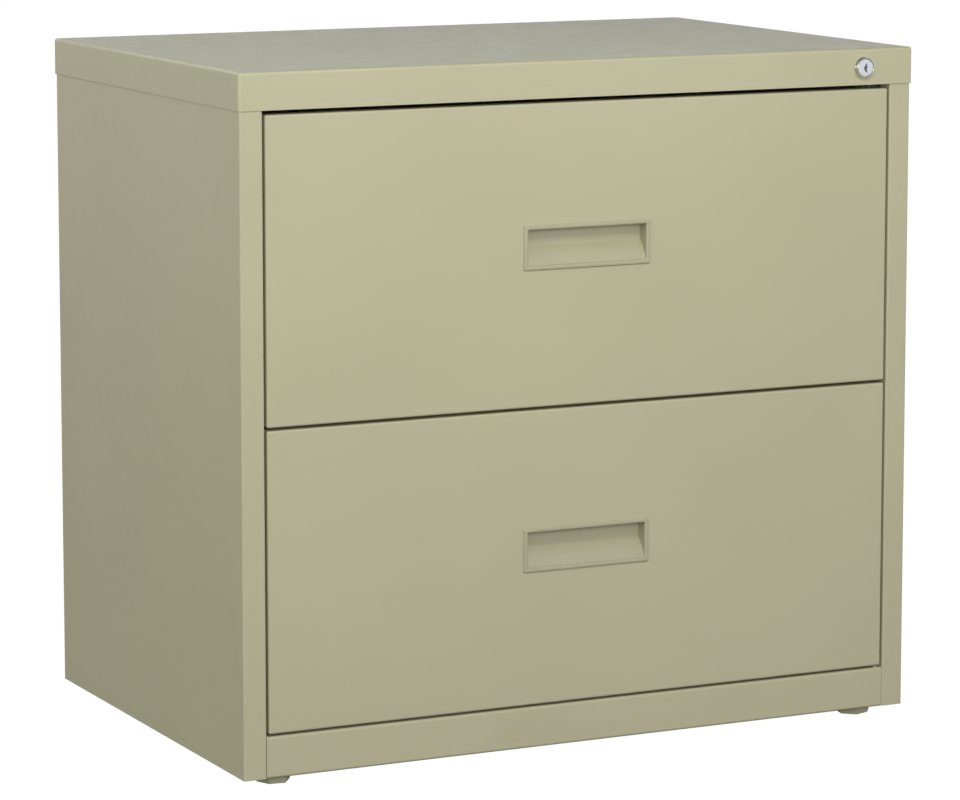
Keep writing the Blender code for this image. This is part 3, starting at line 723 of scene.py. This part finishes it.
def ball_cages(level, label, side):
    """Thin retainer strips, with a row of balls along each flange."""
    stem = level + "_slide_" + label
    ball = 1.8 * MM
    balls_in_row = 13
    sections = {
        "outer_cage": ([(8, 19.8), (1.6, 19.8), (1.6, -19.8), (8, -19.8)], 5.5, 19.5),
        "inner_cage": ([(9, 14.4), (4.2, 14.4), (4.2, -14.4), (9, -14.4)], 7.3, 14.1),
    }
    for part, (path, x_row, z_row) in sections.items():
        node = stem + "_" + part
        low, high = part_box(node)
        z = (low.z + high.z) / 2
        outline = raised(slide_outline(path, side, 0.6 * MM, 0.3 * MM), z)
        strip = link("retainer_" + node, prism(outline, "Y", low.y, high.y))
        finish(strip, "cage_steel", node, [node], edge=0)
        balls = []
        for sign in (-1, 1):
            for step in range(balls_in_row):
                sphere = bmesh.new()
                bmesh.ops.create_icosphere(sphere, subdivisions=2, radius=ball)
                y = low.y + (high.y - low.y) * (step + 0.5) / balls_in_row
                place = (side * (X_OPENING - x_row * MM), y, z + sign * z_row * MM)
                bmesh.ops.translate(sphere, verts=sphere.verts, vec=place)
                balls.append(sphere)
        finish(link("balls_" + node, gather(balls)), "ball_steel", node, edge=0, angle=60)


# ------------------------------------------------------------------- lock
def lock_ring():
    """Chrome housing: a round-shouldered bevel, a thin crest and a bored barrel."""
    profile = [(9.1, -1.8), (9.1, -4.75), (9.2, -4.93), (9.4, -5.0), (9.75, -5.0), (9.95, -4.93)]
    profile += [(9.95 + 0.95 * share, -4.93 + 2.2 * share ** 1.3) for share in (0.3, 0.65, 1.0)]
    profile += arc((10.3, -1.5), 1.2, math.radians(-40), math.radians(0), 5)
    profile += [(11.5, -0.3), (8.9, -0.3), (8.9, 18.0), (6.5, 18.0), (6.5, -1.8)]
    body = turned([(r * MM, y * MM) for r, y in profile], 72, (LOCK_X, COVER_LOW.y, LOCK_Z))
    finish(link("lock_ring", body), "chrome", "cabinet", ["lock_housing"], edge=0, angle=25)


def lock_plug():
    """Frosted wide head with a zig-zag keyway on a plain barrel; a dark insert just behind the
    keyway's mouth paints its shade.
    """
    profile = [(0, -4.5), (8.35, -4.5), (8.65, -4.42), (8.8, -4.2), (8.8, -2.1), (6.2, -2.1),
               (6.2, 17.6), (3, 17.6), (3, 21.3), (0, 21.3)]
    body = turned([(r * MM, y * MM) for r, y in profile], 64, (LOCK_X, COVER_LOW.y, LOCK_Z))
    piece = link("lock_core", body)
    keyway = [(-0.5, 4.4), (1.3, 4.4), (1.3, 2.2), (2.1, 1.8), (2.1, 0.2), (0.9, -0.3), (0.9, -1.3),
              (1.5, -1.7), (1.5, -4.4), (-0.7, -4.4), (-0.7, -2.6), (-1.9, -1.9), (-1.9, 1.1),
              (-0.5, 1.9)]

    def section(scale):
        return [(LOCK_X + x * scale * MM, LOCK_Z + z * scale * MM) for x, z in keyway]

    face = COVER_LOW.y - 4.5 * MM
    boolean(piece, prism(section(1), "Y", face - 3.5 * MM, face + 6 * MM))
    # painted shade: a dark raw-steel insert fills the keyway from 0.8 mm behind the face, in place
    # of a deep shaded slot
    keyway_shade = link("lock_keyway_painted_shade", prism(section(0.99), "Y", face + 0.8 * MM, face + 5.9 * MM))
    finish(keyway_shade, "raw_steel", "lock_plug", edge=0)
    finish(piece, "brushed_nickel", "lock_plug", ["lock_plug"], edge=0.15 * MM, angle=25)


# ---------------------------------------------------------- small hardware
def screw_head():
    """Pan head with a cross recess, its flat underside at y = 0, facing -Y."""
    radius = 3.6 * MM
    height = 1.4 * MM
    profile = [(0, -height)]
    profile += [(radius * math.sin(turn), -height * (0.25 + 0.75 * math.cos(turn)))
                for turn in (math.pi / 2 * step / 5 for step in range(1, 6))]
    profile += [(radius, 0), (0, 0)]
    head = link("screw", turned(profile, 20))
    arm = radius * 0.55
    slim = radius * 0.13
    above = -height * 1.2
    boolean(head, block((-arm, above, -slim), (arm, -height * 0.45, slim)))
    return boolean(head, block((-slim, above, -arm), (slim, -height * 0.44, arm)))


def screws(name, places, facing, body):
    """Copies of one screw head with their undersides at the given places."""
    head = screw_head()
    source = bmesh.new()
    source.from_mesh(head.data)
    bpy.data.objects.remove(head)
    turn = Vector((0, -1, 0)).rotation_difference(Vector(facing)).to_matrix()
    parts = []
    for place in places:
        part = source.copy()
        bmesh.ops.transform(part, matrix=turn, verts=part.verts)
        bmesh.ops.translate(part, verts=part.verts, vec=place)
        parts.append(part)
    source.free()
    return finish(link(name, gather(parts)), "zinc_steel", body, edge=0, angle=30)


def case_screws():
    """A row down each rear flange, into the back panel."""
    low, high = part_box("back_panel")
    count = 6
    for label, side in SIDES:
        x = side * (X_SIDE - 8 * MM)
        places = [(x, Y_BACK, low.z + (high.z - APRON - low.z) * (step + 0.5) / count)
                  for step in range(count)]
        screws("back_screws_" + label, places, (0, 1, 0), "cabinet")


def drawer_screws(level):
    """Heads inside the tray for each inner slide member, and on the back of the liner."""
    for label, side in SIDES:
        low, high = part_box(level + "_slide_" + label + "_inner")
        z = (low.z + high.z) / 2
        x = side * (TRAY_HALF - SHEET)
        places = [(x, low.y + (high.y - low.y) * share, z) for share in (0.08, 0.5, 0.92)]
        screws(level + "_slide_screws_" + label, places, (-side, 0, 0), level + "_drawer")
    low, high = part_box(level + "_drawer_liner")
    pull_low, pull_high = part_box(level + "_handle")
    z = (pull_low.z + pull_high.z) / 2
    places = [(sign * 55 * MM, high.y, z) for sign in (-1, 1)]
    places += [(sign * (high.x - 25 * MM), high.y, low.z + rise)
               for sign in (-1, 1) for rise in (270 * MM, 6 * MM)]
    screws(level + "_liner_screws", places, (0, 1, 0), level + "_drawer")


# --------------------------------------------------------------- assembly
def paint_frame():
    """CAD nodes that stay get the same finishes as the new pieces."""
    kept = {
        "putty_enamel": ["header_channel", "base_pan"] +
                        [level + "_drawer_liner" for level in LEVELS],
        "zinc_steel": ["lock_bar", "lock_cam", "lock_bar_guide_upper", "lock_bar_guide_lower"] +
                      [level + "_lock_catch" for level in LEVELS],
        "raw_steel": ["counterweight"],
    }
    for look, nodes in kept.items():
        for node in nodes:
            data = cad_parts[node].data
            data.materials.clear()
            data.materials.append(LOOKS[look])


def camera():
    """Long lens from the front left, a little above the cover."""
    data = bpy.data.cameras.new("camera")
    data.sensor_fit = "HORIZONTAL"
    data.sensor_width = 36
    data.lens = 155.9
    data.shift_y = -0.104
    data.clip_end = 200
    eye = bpy.data.objects.new("camera", data)
    eye.location = (-1.931, -3.943, 1.0356)
    pitch = -0.1357
    yaw = -0.4558
    eye.rotation_euler = (math.pi / 2 + pitch, 0, yaw)
    bpy.context.scene.collection.objects.link(eye)
    bpy.context.scene.camera = eye


def area_light(name, at, target, size, power, colour, glossy=True):
    """Rectangular lamp turned to its target; some lamps give no reflections."""
    data = bpy.data.lights.new(name, "AREA")
    data.shape = "RECTANGLE"
    data.size = size[0]
    data.size_y = size[1]
    data.energy = power
    data.color = colour
    lamp = bpy.data.objects.new(name, data)
    lamp.location = at
    lamp.visible_camera = False
    lamp.visible_glossy = glossy
    way = Vector(target) - Vector(at)
    lamp.rotation_euler = way.to_track_quat("-Z", "Y").to_euler()
    bpy.context.scene.collection.objects.link(lamp)


def sky(world):
    """Bright horizon band, dim above and below it, as in a studio with a white surround."""
    world.use_nodes = True
    nodes = world.node_tree.nodes
    links = world.node_tree.links
    place = nodes.new("ShaderNodeTexCoord")
    split = nodes.new("ShaderNodeSeparateXYZ")
    spread = nodes.new("ShaderNodeMapRange")
    ramp = nodes.new("ShaderNodeValToRGB")
    spread.inputs["From Min"].default_value = -1
    links.new(place.outputs["Generated"], split.inputs["Vector"])
    links.new(split.outputs["Z"], spread.inputs["Value"])
    links.new(spread.outputs["Result"], ramp.inputs["Fac"])
    links.new(ramp.outputs["Color"], nodes["Background"].inputs["Color"])
    stops = ((0.44, (0.07, 0.065, 0.055)), (0.50, (1.34, 1.40, 1.46)), (0.55, (1.34, 1.40, 1.46)),
             (0.70, (0.12, 0.128, 0.136)))
    elements = ramp.color_ramp.elements
    while len(elements) < len(stops):
        elements.new(0.5)
    for element, (position, colour) in zip(elements, stops):
        element.position = position
        element.color = colour + (1,)


def studio():
    """White floor, bright horizon, and soft lights in front, on both sides and behind."""
    bm = bmesh.new()
    bmesh.ops.create_grid(bm, x_segments=1, y_segments=1, size=60)
    floor = link("floor", bm)
    paint = bpy.data.materials.new("floor_paint")
    paint.use_nodes = True
    shader = paint.node_tree.nodes["Principled BSDF"]
    shader.inputs["Base Color"].default_value = (0.04, 0.04, 0.04, 1)
    shader.inputs["Roughness"].default_value = 0.9
    shader.inputs["Specular IOR Level"].default_value = 0.0
    shader.inputs["Emission Color"].default_value = (1, 1, 1, 1)
    shader.inputs["Emission Strength"].default_value = 1.0
    floor.data.materials.append(paint)
    floor.visible_diffuse = False
    floor.visible_glossy = False
    world = bpy.data.worlds.new("studio")
    bpy.context.scene.world = world
    sky(world)
    warm = (1.0, 1.0, 0.95)
    warmer = (1.0, 1.0, 0.88)
    area_light("front", (-0.6, -3.05, 1.15), (-0.05, -0.25, 0.6), (1.8, 1.0), 31.5, warm)
    area_light("above", (-0.05, -1.3, 1.5), (0.0, -0.25, 0.6), (1.2, 0.4), 7.5, warm)
    area_light("left", (-3.2, -0.3, 1.7), (-0.38, 0.0, 0.45), (2.0, 1.6), 29, warmer, glossy=False)
    area_light("right", (3.0, 0.3, 0.4), (0.38, 0.0, 0.4), (1.8, 0.6), 13, warm, glossy=False)
    area_light("rear_top", (-0.6, 1.7, 1.9), (0.0, 0.2, 0.6), (1.2, 0.5), 8, warm)
    area_light("rear", (1.0, 2.8, 0.36), (0.0, 0.25, 0.36), (2.4, 0.6), 12, warm)


case_builders = (side_panels, top_cover, base_rail, back_panel, uprights, glides, lock_ring,
                 lock_plug, case_screws)
drawer_builders = (drawer_front, drawer_pull, drawer_tray, drawer_back, hang_rails, drawer_screws)
camera()
for build in case_builders:
    build()
for drawer_level in LEVELS:
    for build in drawer_builders:
        build(drawer_level)
    for side_label, side_sign in SIDES:
        slide_members(drawer_level, side_label, side_sign)
        ball_cages(drawer_level, side_label, side_sign)
paint_frame()
studio()
bpy.context.scene.view_settings.view_transform = "Standard"
